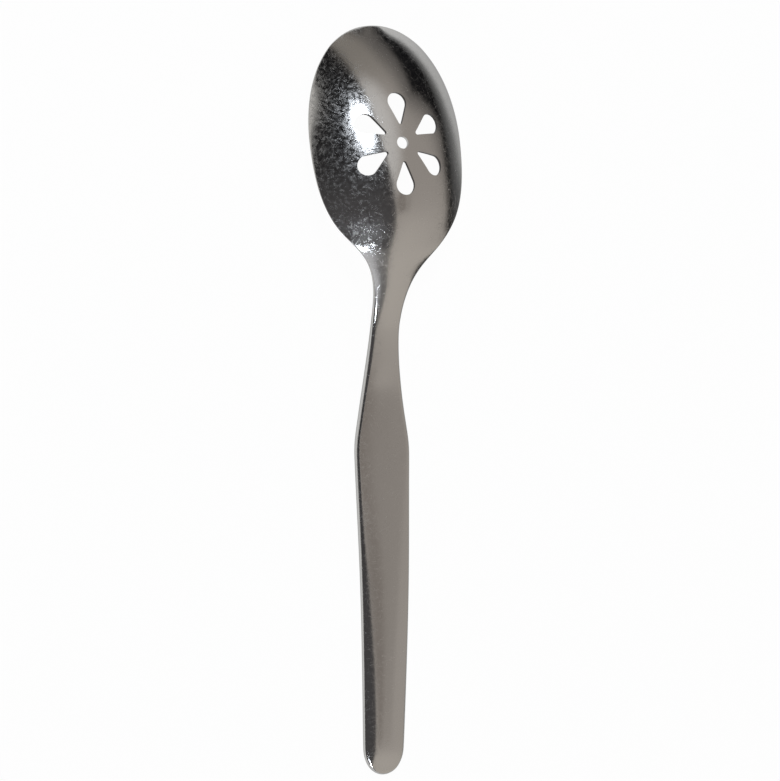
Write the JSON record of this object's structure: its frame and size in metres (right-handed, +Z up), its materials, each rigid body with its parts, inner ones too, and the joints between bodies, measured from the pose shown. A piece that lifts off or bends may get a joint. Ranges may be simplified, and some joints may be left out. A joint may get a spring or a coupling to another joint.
{
  "type": "pierced ice spoon",
  "caption": "Spoon with an oval bowl pierced with a flower of petals, a narrow neck and a long tapered handle with a rounded end, pressed from stainless steel.",
  "frame": {"origin": "on the table under the middle of the spoon's box, with the spoon lying on its face", "axes": "+Y along the spoon towards the bowl's tip, +Z up through the bowl's domed back, X across the bowl"},
  "size_m": [0.0404, 0.18, 0.0174],
  "materials": {
    "steel": "worn mirror polish with fine scratches"
  },
  "bodies": {
    "root": {"spoon": "steel"}
  },
  "joints": []
}
